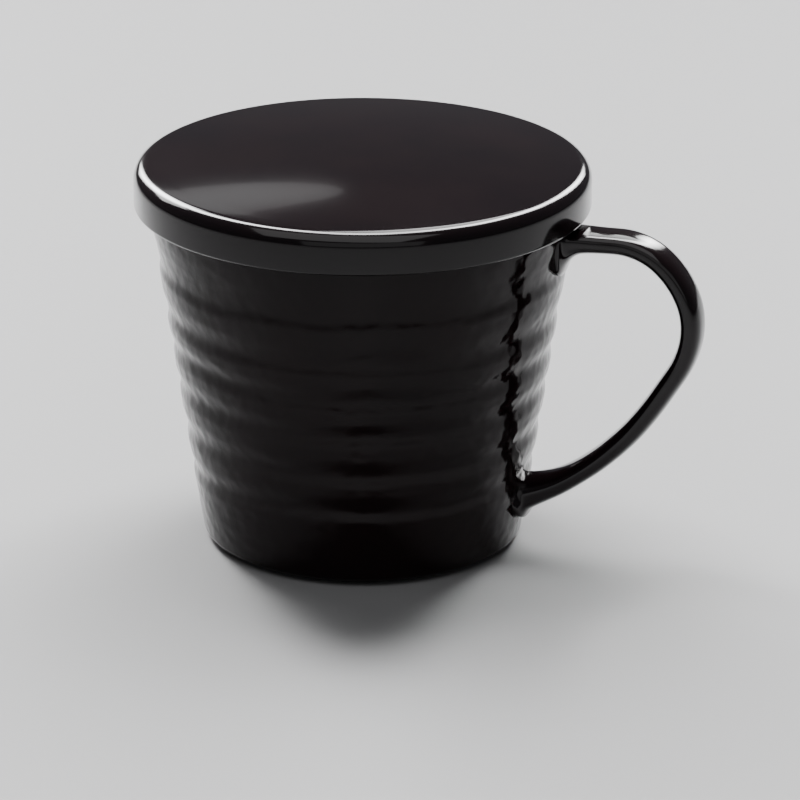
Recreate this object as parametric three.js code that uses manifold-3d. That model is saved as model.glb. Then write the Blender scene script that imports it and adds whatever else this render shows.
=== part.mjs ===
// Lacquer mug: a turned tapering cup, an ear handle let into its wall, and a cap lid that lifts off.
// Millimetres. The origin is the middle of the base, +Z is up and the handle points along +X.
import * as THREE from "three";
import { mergeVertices } from "three/addons/utils/BufferGeometryUtils.js";
import Module from "manifold-3d";

const wasm = await Module();
wasm.setup();

// The cup's tapering wall
const baseRadius = 33.8;
const taper = 0.148;
const rimHeight = 79;
const wallThickness = 3.2;
const floorThickness = 4.5;
const innerFillet = 8;
const rimRounding = 1.2;
const cupSides = 72;

// The cup's foot and rounded bottom edge
const footRadius = 31.4;
const footHeight = 0.9;
const bottomRounding = 1.6;

// The turned rings: the height of each ring's upper edge, and how far the wall steps there
const ringEdges = [17.4, 26, 35.4, 43.6, 51.5, 62.2];
const ringCut = 0.35;
const ringSwell = 0.25;
const ringShoulder = 1.5;
const ringRise = 0.45;

// The cap lid
const lidRadius = 48;
const lidEdgeHeight = 73.4;
const lidShoulderHeight = 79.1;
const lidShoulderRadius = 3.3;
const lidTopHeight = 85;
const lidEdgeRounding = 0.9;
const skirtInnerRadius = 46.1;
const seatHeight = 79.35;
const seatInnerRadius = 41;
const ceilingRadius = 37.5;
const ceilingHeight = 81.2;
const ceilingRise = 0.9;
const lidSides = 72;

// The handle: a rounded bar swept along this line, seen from the side as X and Z
const handleLine = [
  [42, 70.1], [51, 70.1], [58, 69.9], [63.6, 67.6], [68.1, 63.1], [70.9, 57.4], [71.5, 51.4],
  [69.9, 45.4], [66.4, 39.2], [62.4, 33], [57.9, 27.3], [51.6, 21.2], [44.2, 15.8], [37, 12.2], [33, 10.2],
];
const handleThickness = 4.6;
const handleWidth = 8.8;
const handleSquareness = 3.4;
const handleSteps = 44;
const handleSides = 20;
const upperFlare = { reach: 14, outer: 0.1, inner: 5, side: 1.6 };
const lowerFlare = { reach: 20, outer: 1.4, inner: 3.6, side: 1.4 };

// The stub tenons on the handle's ends, and the clearance between pieces that touch
const clearance = 0.3;
const tenonSize = 4.4;
const tenonDepth = 1.6;
const tenonRoot = 3;
const upperTenonHeight = 68.6;
const lowerTenonHeight = 12.6;

function wallRadius(height) {
  return baseRadius + taper * height;
}

function arcPoints(centreX, centreY, radius, fromDegrees, toDegrees, steps) {
  const points = [];
  for (let i = 0; i <= steps; i += 1) {
    const angle = THREE.MathUtils.degToRad(fromDegrees + ((toDegrees - fromDegrees) * i) / steps);
    points.push(new THREE.Vector2(centreX + radius * Math.cos(angle), centreY + radius * Math.sin(angle)));
  }
  return points;
}

// The outside of the cup, from the foot up to the rim, let out by grow
function ringedOutline(grow) {
  const bottom = footHeight + bottomRounding;
  const points = arcPoints(wallRadius(bottom) - bottomRounding + grow, bottom, bottomRounding, -75, 0, 4);
  for (let i = 0; i < ringEdges.length; i += 1) {
    const edge = ringEdges[i];
    const next = i + 1 < ringEdges.length ? ringEdges[i + 1] : rimHeight;
    const rise = edge + ringRise * (next - edge);
    points.push(new THREE.Vector2(wallRadius(edge - ringShoulder) + ringSwell + grow, edge - ringShoulder));
    points.push(new THREE.Vector2(wallRadius(edge) - ringCut + grow, edge));
    points.push(new THREE.Vector2(wallRadius(rise) + ringSwell / 2 + grow, rise));
  }
  return points;
}

// A closed solid turned about the Z axis from a profile of radius and height
function turned(points, sides) {
  const geometry = new THREE.LatheGeometry(points, sides);
  geometry.rotateX(Math.PI / 2);
  return geometry;
}

function toManifold(geometry) {
  const plain = geometry.clone();
  plain.deleteAttribute("normal");
  plain.deleteAttribute("uv");
  const merged = mergeVertices(plain, 1e-4);
  const vertProperties = new Float32Array(merged.attributes.position.array);
  const triVerts = new Uint32Array(merged.index.array);
  return new wasm.Manifold(new wasm.Mesh({ numProp: 3, vertProperties, triVerts }));
}

function toGeometry(solid) {
  const mesh = solid.getMesh();
  const geometry = new THREE.BufferGeometry();
  geometry.setAttribute("position", new THREE.BufferAttribute(new Float32Array(mesh.vertProperties), 3));
  geometry.setIndex(new THREE.BufferAttribute(new Uint32Array(mesh.triVerts), 1));
  geometry.computeVertexNormals();
  return geometry;
}

// A square stub from depth inside the cup's wall to root outside it, let out by grow
function tenonBlock(height, depth, root, grow) {
  const inner = wallRadius(height) - depth - grow;
  const outer = wallRadius(height) + root;
  const block = new THREE.BoxGeometry(outer - inner, tenonSize + 2 * grow, tenonSize + 2 * grow);
  block.translate((inner + outer) / 2, 0, height);
  return toManifold(block);
}

function makeCup() {
  const outline = [new THREE.Vector2(0, 0), new THREE.Vector2(footRadius, 0)];
  outline.push(new THREE.Vector2(footRadius, footHeight));
  outline.push(...ringedOutline(0));
  const rimOuter = wallRadius(rimHeight);
  const rimInner = rimOuter - wallThickness;
  const rimTop = rimHeight - rimRounding;
  outline.push(...arcPoints(rimOuter - rimRounding, rimTop, rimRounding, 0, 90, 3));
  outline.push(...arcPoints(rimInner + rimRounding, rimTop, rimRounding, 90, 180, 3));
  const filletHeight = floorThickness + innerFillet;
  const filletCentre = wallRadius(filletHeight) - wallThickness - innerFillet;
  outline.push(...arcPoints(filletCentre, filletHeight, innerFillet, 0, -90, 6));
  outline.push(new THREE.Vector2(0, floorThickness));
  const cup = toManifold(turned(outline, cupSides));
  const mortises = [upperTenonHeight, lowerTenonHeight].map((height) => (
    tenonBlock(height, tenonDepth, tenonRoot, clearance)
  ));
  return toGeometry(cup.subtract(mortises[0]).subtract(mortises[1]));
}

function makeLid() {
  const edgeOuter = lidRadius - lidEdgeRounding;
  const edgeCentre = lidEdgeHeight + lidEdgeRounding;
  const shoulderCentre = lidRadius - lidShoulderRadius;
  const shoulderTop = lidShoulderHeight + lidShoulderRadius;
  const outline = [new THREE.Vector2(0, ceilingHeight + ceilingRise)];
  outline.push(new THREE.Vector2(ceilingRadius * 0.6, ceilingHeight + ceilingRise * 0.64));
  outline.push(new THREE.Vector2(ceilingRadius, ceilingHeight));
  outline.push(new THREE.Vector2(seatInnerRadius, seatHeight));
  outline.push(new THREE.Vector2(skirtInnerRadius, seatHeight));
  outline.push(new THREE.Vector2(skirtInnerRadius, lidEdgeHeight));
  outline.push(...arcPoints(edgeOuter, edgeCentre, lidEdgeRounding, -90, 0, 3));
  outline.push(...arcPoints(shoulderCentre, lidShoulderHeight, lidShoulderRadius, 0, 84, 6));
  for (const share of [0.75, 0.5, 0.25, 0]) {
    const height = shoulderTop + (lidTopHeight - shoulderTop) * (1 - share * share);
    outline.push(new THREE.Vector2(shoulderCentre * share, height));
  }
  const lid = turned(outline, lidSides);
  return toGeometry(toManifold(lid));
}

// How much of a flare is left at a distance from the wall: all of it at the wall, none past its reach
function flareShare(flare, distance) {
  const share = Math.max(0, 1 - distance / flare.reach);
  return share * share * share;
}

function sweptBar() {
  const line = new THREE.CatmullRomCurve3(handleLine.map(([x, z]) => new THREE.Vector3(x, 0, z)));
  const length = line.getLength();
  const positions = [];
  for (let i = 0; i <= handleSteps; i += 1) {
    const share = i / handleSteps;
    const centre = line.getPointAt(share);
    const along = line.getTangentAt(share);
    const outward = new THREE.Vector3(-along.z, 0, along.x);
    const upper = flareShare(upperFlare, Math.max(0, share * length - 2));
    const lower = flareShare(lowerFlare, Math.max(0, (1 - share) * length - 4));
    const halfOuter = handleThickness / 2 + upper * upperFlare.outer + lower * lowerFlare.outer;
    const halfInner = handleThickness / 2 + upper * upperFlare.inner + lower * lowerFlare.inner;
    const halfWidth = handleWidth / 2 + upper * upperFlare.side + lower * lowerFlare.side;
    for (let k = 0; k < handleSides; k += 1) {
      const angle = (2 * Math.PI * k) / handleSides;
      const across = Math.sign(Math.cos(angle)) * Math.abs(Math.cos(angle)) ** (2 / handleSquareness);
      const side = Math.sign(Math.sin(angle)) * Math.abs(Math.sin(angle)) ** (2 / handleSquareness);
      const reach = across > 0 ? halfOuter : halfInner;
      const point = centre.clone().addScaledVector(outward, across * reach);
      positions.push(point.x, side * halfWidth, point.z);
    }
  }
  const index = [];
  for (let i = 0; i < handleSteps; i += 1) {
    for (let k = 0; k < handleSides; k += 1) {
      const a = i * handleSides + k;
      const b = i * handleSides + ((k + 1) % handleSides);
      index.push(a, b + handleSides, b, a, a + handleSides, b + handleSides);
    }
  }
  const last = handleSteps * handleSides;
  for (let k = 1; k < handleSides - 1; k += 1) {
    index.push(0, k, k + 1);
    index.push(last, last + k + 1, last + k);
  }
  const bar = new THREE.BufferGeometry();
  bar.setAttribute("position", new THREE.BufferAttribute(new Float32Array(positions), 3));
  bar.setIndex(index);
  return bar;
}

function makeHandle() {
  const bar = sweptBar();
  const core = [new THREE.Vector2(0, -1), ...ringedOutline(clearance)];
  core[1] = new THREE.Vector2(core[1].x, -1);
  core.push(new THREE.Vector2(wallRadius(rimHeight) + clearance, rimHeight));
  core.push(new THREE.Vector2(0, rimHeight));
  const cutter = toManifold(turned(core, cupSides));
  let handle = toManifold(bar).subtract(cutter);
  for (const height of [upperTenonHeight, lowerTenonHeight]) {
    handle = handle.add(tenonBlock(height, tenonDepth, tenonRoot, 0));
  }
  return toGeometry(handle);
}

function lacquer(colour) {
  return new THREE.MeshStandardMaterial({ color: colour, roughness: 0.12, metalness: 0 });
}

function named(name, geometry, colour) {
  const mesh = new THREE.Mesh(geometry, lacquer(colour));
  mesh.name = name;
  return mesh;
}

const group = new THREE.Group();
group.add(named("mug_body", makeCup(), 0x1a1012));
group.add(named("handle", makeHandle(), 0x1c1113));
group.add(named("lid", makeLid(), 0x1e1214));

export default group;
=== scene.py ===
import math

import bmesh
import bpy
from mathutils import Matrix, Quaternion, Vector, noise


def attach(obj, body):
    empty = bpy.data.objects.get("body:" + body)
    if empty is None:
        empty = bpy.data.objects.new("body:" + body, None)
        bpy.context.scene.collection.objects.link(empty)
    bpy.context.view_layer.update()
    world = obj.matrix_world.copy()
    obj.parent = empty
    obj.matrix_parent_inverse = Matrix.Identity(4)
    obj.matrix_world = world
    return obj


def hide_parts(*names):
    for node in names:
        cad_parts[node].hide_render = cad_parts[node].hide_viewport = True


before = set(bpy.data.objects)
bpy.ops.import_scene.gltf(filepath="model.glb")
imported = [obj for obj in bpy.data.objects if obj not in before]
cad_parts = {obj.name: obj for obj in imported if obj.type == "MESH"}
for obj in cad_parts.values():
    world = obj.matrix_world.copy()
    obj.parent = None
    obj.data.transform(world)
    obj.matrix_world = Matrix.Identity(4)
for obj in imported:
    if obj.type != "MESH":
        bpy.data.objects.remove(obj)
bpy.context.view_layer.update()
print("loaded", len(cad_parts), "CAD nodes")

mm = 0.001
mergeDistance = 1e-7


def smooth(share):
    share = max(0.0, min(1.0, share))
    return share * share * (3 - 2 * share)


# An arc of radii and heights about a centre, between two angles in degrees
def arc(centreR, centreZ, radius, start, end, steps):
    points = []
    for i in range(steps + 1):
        angle = math.radians(start + (end - start) * i / steps)
        points.append((centreR + radius * math.cos(angle), centreZ + radius * math.sin(angle)))
    return points


def finished(name, bm):
    mesh = bpy.data.meshes.new(name)
    bm.to_mesh(mesh)
    bm.free()
    mesh.polygons.foreach_set("use_smooth", [True] * len(mesh.polygons))
    piece = bpy.data.objects.new(name, mesh)
    bpy.context.scene.collection.objects.link(piece)
    return piece


# Spin an outline of radii and heights, which starts and ends on the axis, into a closed piece
def turned(name, outline, steps):
    bm = bmesh.new()
    points = [bm.verts.new((r * mm, 0, z * mm)) for r, z in outline]
    edges = [bm.edges.new(pair) for pair in zip(points, points[1:])]
    bmesh.ops.spin(
        bm, geom=points + edges, cent=(0, 0, 0), axis=(0, 0, 1), angle=2 * math.pi,
        steps=steps, use_merge=True,
    )
    bmesh.ops.remove_doubles(bm, verts=bm.verts, dist=mergeDistance)
    bmesh.ops.recalc_face_normals(bm, faces=bm.faces)
    return finished(name, bm)


# What the three lacquers share. Scales are per metre, and darkShare makes the darker clouds from the tint
lacquers = {
    "coatRoughness": 0.04, "cloudScale": 38, "cloudDetail": 5, "cloudFrom": 0.3, "cloudTo": 0.62,
    "darkShare": (0.7, 0.8, 0.9), "roughnessFrom": 0.06, "roughnessTo": 0.16, "reliefHeight": 0.2 * mm,
}


def lacquer(finish):
    material = bpy.data.materials.new(finish["name"])
    material.use_nodes = True
    nodes, links = material.node_tree.nodes, material.node_tree.links
    shader = nodes["Principled BSDF"]
    shader.inputs["Coat Weight"].default_value = finish["coat"]
    shader.inputs["Coat Roughness"].default_value = lacquers["coatRoughness"]
    shader.inputs["IOR"].default_value = finish["index"]
    place = nodes.new("ShaderNodeTexCoord")

    # Soft clouds vary both the colour and the gloss
    cloud = nodes.new("ShaderNodeTexNoise")
    cloud.inputs["Scale"].default_value = lacquers["cloudScale"]
    cloud.inputs["Detail"].default_value = lacquers["cloudDetail"]
    links.new(place.outputs["Object"], cloud.inputs["Vector"])
    colour = nodes.new("ShaderNodeValToRGB")
    dark, pale = colour.color_ramp.elements
    dark.position = lacquers["cloudFrom"]
    dark.color = (*[part * share for part, share in zip(finish["tint"], lacquers["darkShare"])], 1)
    pale.position = lacquers["cloudTo"]
    pale.color = (*finish["tint"], 1)
    links.new(cloud.outputs["Fac"], colour.inputs["Fac"])
    links.new(colour.outputs["Color"], shader.inputs["Base Color"])
    gloss = nodes.new("ShaderNodeMapRange")
    gloss.inputs["To Min"].default_value = lacquers["roughnessFrom"]
    gloss.inputs["To Max"].default_value = lacquers["roughnessTo"]
    links.new(cloud.outputs["Fac"], gloss.inputs["Value"])
    links.new(gloss.outputs["Result"], shader.inputs["Roughness"])

    relief = nodes.new(finish["relief"])
    relief.inputs["Scale"].default_value = finish["reliefScale"]
    links.new(place.outputs["Object"], relief.inputs["Vector"])
    bump = nodes.new("ShaderNodeBump")
    bump.inputs["Strength"].default_value = finish["reliefStrength"]
    bump.inputs["Distance"].default_value = lacquers["reliefHeight"]
    links.new(relief.outputs[0], bump.inputs["Height"])
    links.new(bump.outputs["Normal"], shader.inputs["Normal"])
    if finish["reliefInCoat"]:
        links.new(bump.outputs["Normal"], shader.inputs["Coat Normal"])
    return material


def dress(piece, body, node, material):
    piece.data.materials.append(material)
    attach(piece, body)
    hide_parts(node)
    print("made", piece.name, len(piece.data.polygons), "faces")


# The cup, in millimetres: its wall leans out by taper for each millimetre of height
cup = {
    "baseRadius": 33.8, "taper": 0.148, "rimHeight": 79.0, "wall": 3.2, "floor": 4.5, "innerFillet": 8.0,
    "rimRounding": 1.2, "footRadius": 31.4, "footHeight": 0.9, "footBevel": (0.4, 0.3), "bottomRounding": 1.6,
    "steps": 320, "rows": 210, "bottomSteps": 8, "rimSteps": 6, "filletSteps": 12,
}

# The turned rings. The wander shifts their edges up and down and the facets dent the wall: each wave has
# a frequency per millimetre and a height. Both fade out over a short way at the bottom and under the rim
rings = {
    "edges": [17.4, 26.0, 35.4, 43.6, 51.5, 62.2], "top": 83.0,
    "cut": 0.35, "swell": 0.2, "shoulder": 3.2, "rise": 0.45,
    "wander": [(0.035, 1.1), (0.11, 0.55)], "facets": [(0.42, 0.075), (0.8, 0.03)],
    "fadeBottom": 2, "fadeRim": 3,
}

cupFinish = {
    "name": "cup_lacquer", "tint": (0.0045, 0.0015, 0.0017), "coat": 0.05, "index": 1.24,
    "relief": "ShaderNodeTexVoronoi", "reliefScale": 420, "reliefStrength": 0.3, "reliefInCoat": False,
}


def wallRadius(height):
    return cup["baseRadius"] + cup["taper"] * height


def ripple(spot, waves):
    return sum(noise.noise(spot * frequency) * height for frequency, height in waves)


# How far the wall stands out at a height: it climbs from one cut, swells, and rolls into the next
def ringStep(height):
    low = cup["footHeight"]
    for high in rings["edges"] + [rings["top"]]:
        if height < high:
            break
        low = high
    swell = rings["swell"]
    rising = 1 - smooth((height - low) / (rings["rise"] * (high - low)))
    falling = smooth((height - high + rings["shoulder"]) / rings["shoulder"])
    if low == cup["footHeight"]:
        rising = 0.0  # no cut under the lowest band
        swell *= smooth((height - low) / (high - low))
    if low == rings["edges"][-1]:
        falling = 0.0  # nor above the highest
    return swell - (swell + rings["cut"]) * max(rising, falling)


def cupOutline(bottom, rimTop):
    bevelWidth, bevelHeight = cup["footBevel"]
    outline = [(0, 0), (cup["footRadius"] - bevelWidth, 0), (cup["footRadius"], bevelHeight)]
    outline.append((cup["footRadius"], cup["footHeight"]))
    rounding = cup["bottomRounding"]
    outline += arc(wallRadius(bottom) - rounding, bottom, rounding, -80, 0, cup["bottomSteps"])
    for i in range(1, cup["rows"]):
        height = bottom + (rimTop - bottom) * i / cup["rows"]
        outline.append((wallRadius(height), height))
    rimOuter = wallRadius(cup["rimHeight"])
    rimInner = rimOuter - cup["wall"]
    rounding = cup["rimRounding"]
    outline += arc(rimOuter - rounding, rimTop, rounding, 0, 90, cup["rimSteps"])
    outline += arc(rimInner + rounding, rimTop, rounding, 90, 180, cup["rimSteps"])
    filletHeight = cup["floor"] + cup["innerFillet"]
    filletCentre = wallRadius(filletHeight) - cup["wall"] - cup["innerFillet"]
    outline += arc(filletCentre, filletHeight, cup["innerFillet"], 0, -90, cup["filletSteps"])
    outline.append((0, cup["floor"]))
    return outline


def makeCup():
    bottom = cup["footHeight"] + cup["bottomRounding"]
    rimTop = cup["rimHeight"] - cup["rimRounding"]
    piece = turned("cup_shell", cupOutline(bottom, rimTop), cup["steps"])
    for vertex in piece.data.vertices:
        spot = vertex.co / mm
        radius = math.hypot(spot.x, spot.y)
        if spot.z < bottom or spot.z > rimTop or radius < wallRadius(spot.z) - cup["wall"] / 2:
            continue  # only the outside of the wall is hammered
        fade = smooth((spot.z - bottom) / rings["fadeBottom"]) * smooth((rimTop - spot.z) / rings["fadeRim"])
        offset = (ringStep(spot.z + ripple(spot, rings["wander"])) + ripple(spot, rings["facets"])) * fade
        vertex.co.x *= (radius + offset) / radius
        vertex.co.y *= (radius + offset) / radius
    return piece


# The handle, in millimetres: a bar along this line, seen from the side as X and Z. Crowding packs its
# stations at the ends. At each root it flares over a reach, and a fillet rolls it into the wall. Its ends
# are tucked a little way into the wall
handle = {
    "line": [
        (41.6, 70.1), (51, 70.1), (58, 69.9), (63.6, 67.6), (68.1, 63.1), (70.9, 57.4), (71.44, 51.4),
        (69.9, 45.4), (66.4, 39.2), (62.4, 33), (57.9, 27.3), (51.6, 21.2), (44.2, 15.8),
        (37, 12.2), (33.4, 10.4),
    ],
    "thickness": 4.6, "width": 8.8, "squareness": 2.6, "stations": 200, "sides": 48, "crowding": 0.8,
    "upper": {"buried": 2.6, "reach": 12, "outer": 0.1, "inner": 1.6, "side": 0.6},
    "lower": {"buried": 2.4, "reach": 20, "outer": 0.9, "inner": 2.6, "side": 0.6},
    "upperFillet": {"outer": 0.2, "inner": 4.2, "side": 1.8},
    "lowerFillet": {"outer": 1.2, "inner": 2.6, "side": 1.8},
    "tuck": 1.8, "tuckReach": 3.0,
}

handleFinish = {
    "name": "handle_gloss", "tint": (0.0038, 0.0019, 0.0023), "coat": 0.25, "index": 1.36,
    "relief": "ShaderNodeTexNoise", "reliefScale": 55, "reliefStrength": 0.05, "reliefInCoat": True,
}


# A point on the smooth curve through the points, at a share of the way along
def catmull(points, share):
    spans = len(points) - 1
    index = min(int(share * spans), spans - 1)
    t = share * spans - index
    a = Vector(points[max(index - 1, 0)])
    b = Vector(points[index])
    c = Vector(points[index + 1])
    d = Vector(points[min(index + 2, spans)])
    squareTerm = (2 * a - 5 * b + 4 * c - d) * t ** 2
    cubeTerm = (3 * b - a - 3 * c + d) * t ** 3
    return 0.5 * (2 * b + (c - a) * t + squareTerm + cubeTerm)


def crowded(share):
    return share - handle["crowding"] * math.sin(2 * math.pi * share) / (2 * math.pi)


def filletRise(radius, distance):
    gap = max(0.0, min(radius, radius - distance))
    return radius - math.sqrt(radius * radius - gap * gap)


def rootGrowth(end, distance, side):
    flare, fillet = handle[end], handle[end + "Fillet"]
    outside = max(0.0, distance - flare["buried"])
    return flare[side] * max(0.0, 1 - outside / flare["reach"]) ** 3 + filletRise(fillet[side], outside)


# Where the section's edge lies from its middle: a circle's part, pushed out towards a rounded square
def squared(part):
    return math.copysign(abs(part) ** (2 / handle["squareness"]), part)


# Near its ends the bar closes in on a surface just inside the wall, and no part goes deeper
def tucked(spot, fromEnd):
    buried = wallRadius(spot.z) - handle["tuck"]
    radius = math.hypot(spot.x, spot.y)
    share = smooth(1 - fromEnd / handle["tuckReach"])
    reach = max(radius + (buried - radius) * share, buried)
    return Vector((spot.x * reach / radius, spot.y * reach / radius, spot.z))


def makeHandle():
    stations, sides = handle["stations"], handle["sides"]
    line = [catmull(handle["line"], crowded(i / stations)) for i in range(stations + 1)]
    travelled = [0.0]
    for before, after in zip(line, line[1:]):
        travelled.append(travelled[-1] + (after - before).length)
    bm = bmesh.new()
    bmesh.ops.create_grid(bm, x_segments=stations, y_segments=sides, size=1)
    for vertex in bm.verts:
        i = round((vertex.co.x + 1) / 2 * stations)
        angle = round((vertex.co.y + 1) / 2 * sides) % sides * 2 * math.pi / sides
        along = (line[min(i + 1, stations)] - line[max(i - 1, 0)]).normalized()
        outward = Vector((-along.y, along.x))
        fromUpper, fromLower = travelled[i], travelled[-1] - travelled[i]
        grown = {
            side: rootGrowth("upper", fromUpper, side) + rootGrowth("lower", fromLower, side)
            for side in ("outer", "inner", "side")
        }
        across = squared(math.cos(angle))
        half = handle["thickness"] / 2 + grown["outer" if across > 0 else "inner"]
        halfWidth = handle["width"] / 2 + grown["side"]
        place = line[i] + outward * across * half
        spot = Vector((place.x, squared(math.sin(angle)) * halfWidth, place.y))
        vertex.co = tucked(spot, min(fromUpper, fromLower)) * mm
    bmesh.ops.remove_doubles(bm, verts=bm.verts, dist=mergeDistance)
    bmesh.ops.holes_fill(bm, edges=[edge for edge in bm.edges if edge.is_boundary], sides=0)
    bmesh.ops.recalc_face_normals(bm, faces=bm.faces)
    return finished("handle_bar", bm)


# The cap lid, in millimetres: a low dome, a rounded shoulder and a skirt round a shallow hollow
lid = {
    "radius": 48.0, "edge": 73.4, "edgeRounding": 0.85, "innerBevel": 0.3, "shoulder": 79.1,
    "shoulderRadius": 3.3, "shoulderEnd": 84, "top": 85.0, "skirtInner": 46.1, "seat": 79.35,
    "seatInner": 41.0, "ceiling": 81.2, "ceilingRadius": 37.5, "ceilingRise": 0.9,
    "steps": 288, "ceilingSteps": 8, "edgeSteps": 8, "shoulderSteps": 20, "domeSteps": 24,
}

lidFinish = {
    "name": "lid_gloss", "tint": (0.0036, 0.002, 0.0023), "coat": 0.2, "index": 1.34,
    "relief": "ShaderNodeTexNoise", "reliefScale": 55, "reliefStrength": 0.05, "reliefInCoat": True,
}


def makeLid():
    outline = []
    for i in range(lid["ceilingSteps"] + 1):
        share = i / lid["ceilingSteps"]
        height = lid["ceiling"] + lid["ceilingRise"] * (1 - share * share)
        outline.append((lid["ceilingRadius"] * share, height))
    outline += [(lid["seatInner"], lid["seat"]), (lid["skirtInner"], lid["seat"])]
    outline.append((lid["skirtInner"], lid["edge"] + lid["innerBevel"]))
    outline.append((lid["skirtInner"] + lid["innerBevel"], lid["edge"]))
    rounding = lid["edgeRounding"]
    outline += arc(lid["radius"] - rounding, lid["edge"] + rounding, rounding, -90, 0, lid["edgeSteps"])
    rounding = lid["shoulderRadius"]
    shoulderCentre = lid["radius"] - rounding
    outline += arc(shoulderCentre, lid["shoulder"], rounding, 0, lid["shoulderEnd"], lid["shoulderSteps"])
    shoulderTop = lid["shoulder"] + rounding
    for i in range(1, lid["domeSteps"] + 1):
        share = 1 - i / lid["domeSteps"]
        height = shoulderTop + (lid["top"] - shoulderTop) * (1 - share * share)
        outline.append((shoulderCentre * share, height))
    return turned("lid_shell", outline, lid["steps"])


# The floor: its half width in metres, and the paint's two greys, which a slow grain mixes
ground = {
    "halfWidth": 4, "cells": 8, "grain": 6, "roughness": 0.6,
    "darker": (0.17, 0.17, 0.172, 1), "paler": (0.195, 0.195, 0.197, 1),
}


def makeFloor():
    bm = bmesh.new()
    cells = ground["cells"]
    bmesh.ops.create_grid(bm, x_segments=cells, y_segments=cells, size=ground["halfWidth"])
    plane = finished("floor", bm)
    material = bpy.data.materials.new("floor_paint")
    material.use_nodes = True
    nodes, links = material.node_tree.nodes, material.node_tree.links
    grain = nodes.new("ShaderNodeTexNoise")
    grain.inputs["Scale"].default_value = ground["grain"]
    shade = nodes.new("ShaderNodeValToRGB")
    shade.color_ramp.elements[0].color = ground["darker"]
    shade.color_ramp.elements[1].color = ground["paler"]
    links.new(grain.outputs["Fac"], shade.inputs["Fac"])
    links.new(shade.outputs["Color"], nodes["Principled BSDF"].inputs["Base Color"])
    nodes["Principled BSDF"].inputs["Roughness"].default_value = ground["roughness"]
    plane.data.materials.append(material)
    print("laid the floor")


# The camera: degrees, metres for its distance, and millimetres for the aim above the base and the lens
view = {
    "azimuth": 17, "elevation": 20.707, "distance": 1.0, "aimHeight": 28.98, "turn": -0.454,
    "lens": 211.1, "sensor": 36,
}


def makeCamera():
    azimuth, elevation = math.radians(view["azimuth"]), math.radians(view["elevation"])
    aim = Vector((0, 0, view["aimHeight"] * mm))
    turn = math.radians(view["turn"])
    back = Vector((
        math.sin(azimuth) * math.cos(elevation), -math.cos(azimuth) * math.cos(elevation), math.sin(elevation)
    ))
    data = bpy.data.cameras.new("camera")
    data.sensor_width = view["sensor"]
    data.lens = view["lens"]
    camera = bpy.data.objects.new("camera", data)
    camera.location = aim + back * view["distance"]
    camera.rotation_mode = "QUATERNION"
    camera.rotation_quaternion = (-back).to_track_quat("-Z", "Y") @ Quaternion((0, 1, 0), turn)
    bpy.context.scene.collection.objects.link(camera)
    bpy.context.scene.camera = camera
    print("placed the camera")


# The light round the mug. Each panel has a name, a direction as right, away and up from the camera's side,
# a distance, width and depth in metres, and a radiance
studio = {
    "aimHeight": 60, "airColour": (0.9, 0.92, 1, 1), "airStrength": 0.1,
    "panels": [
        ("left_high", (-0.5, 0.64, 0.54), 1.0, 0.52, 0.28, 10),
        ("right_high", (0.26, 0.52, 0.81), 1.0, 0.62, 0.48, 9),
        ("front_high", (-0.15, -0.5, 0.86), 1.2, 1.5, 1.0, 1.4),
        ("front_low", (0, -1, 0.28), 2.2, 2.4, 1.1, 0.5),
    ],
}

# A curved row of panels that the lid's rounded shoulder mirrors as one line: bearings round the lid in
# degrees, and the slope of the shoulder there. The row is deeper towards the left
arch = {
    "first": -78, "last": 78, "step": 4, "slope": 61, "distance": 1.0, "width": 0.17,
    "frontDepth": 0.34, "leftDepth": 0.5, "radiance": 8,
}

# The soft glow on the lid: panels of growing size in one direction, so that its edge fades out
glow = {
    "direction": (-0.16, 0.86, 0.45), "distance": 1.4, "widths": [0.1, 0.18, 0.26, 0.34, 0.42],
    "shape": 0.36, "radiance": 0.66,
}


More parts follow.
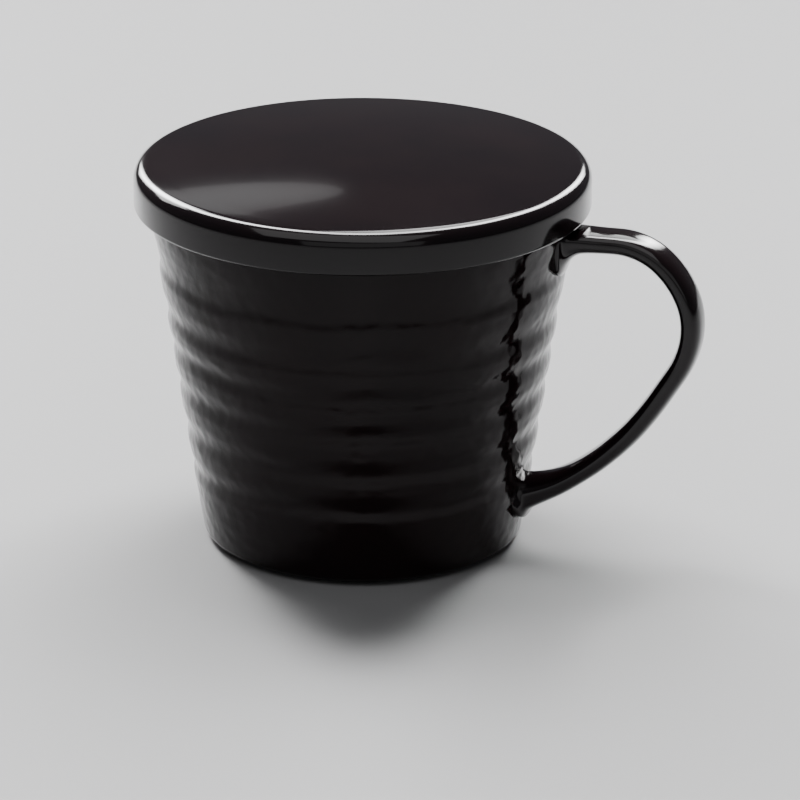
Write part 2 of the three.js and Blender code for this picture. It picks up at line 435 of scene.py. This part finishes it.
def softLight(name, direction, distance, width, depth, radiance):
    right, away, up = direction
    azimuth = math.radians(view["azimuth"])
    sideways = Vector((math.cos(azimuth), math.sin(azimuth), 0))
    backwards = Vector((-math.sin(azimuth), math.cos(azimuth), 0))
    towards = (sideways * right + backwards * away + Vector((0, 0, up))).normalized()
    light = bpy.data.lights.new(name, "AREA")
    light.shape = "RECTANGLE"
    light.size = width
    light.size_y = depth
    light.energy = radiance * math.pi * width * depth
    lamp = bpy.data.objects.new(name, light)
    lamp.location = Vector((0, 0, studio["aimHeight"] * mm)) + towards * distance
    lamp.rotation_mode = "QUATERNION"
    lamp.rotation_quaternion = (-towards).to_track_quat("-Z", "Y")
    bpy.context.scene.collection.objects.link(lamp)
    return lamp


# The direction that the camera sees mirrored at a bearing round the lid, where its surface has this slope
def mirrored(bearing, slope):
    bearing, slope = math.radians(bearing), math.radians(slope)
    elevation = math.radians(view["elevation"])
    normal = Vector((
        math.sin(bearing) * math.cos(slope), -math.cos(bearing) * math.cos(slope), math.sin(slope)
    ))
    seen = Vector((0, -math.cos(elevation), math.sin(elevation)))
    return 2 * normal.dot(seen) * normal - seen


def makeArch():
    for bearing in range(arch["first"], arch["last"] + 1, arch["step"]):
        share = smooth(bearing / arch["first"])
        depth = arch["frontDepth"] + (arch["leftDepth"] - arch["frontDepth"]) * share
        direction = mirrored(bearing, arch["slope"])
        softLight(f"arch_{bearing}", direction, arch["distance"], arch["width"], depth, arch["radiance"])


def makeGlow():
    for i, width in enumerate(glow["widths"]):
        depth = width * glow["shape"]
        lamp = softLight(f"glow_{i}", glow["direction"], glow["distance"], width, depth, glow["radiance"])
        lamp.data.shape = "ELLIPSE"


def makeStudio():
    world = bpy.data.worlds.new("studio")
    world.use_nodes = True
    air = world.node_tree.nodes["Background"]
    air.inputs["Color"].default_value = studio["airColour"]
    air.inputs["Strength"].default_value = studio["airStrength"]
    bpy.context.scene.world = world
    makeArch()
    for panel in studio["panels"]:
        softLight(*panel)
    makeGlow()
    print("hung", len(bpy.data.lights), "lights")


makeCamera()
dress(makeCup(), "mug", "mug_body", lacquer(cupFinish))
dress(makeHandle(), "mug", "handle", lacquer(handleFinish))
dress(makeLid(), "lid", "lid", lacquer(lidFinish))
makeFloor()
makeStudio()
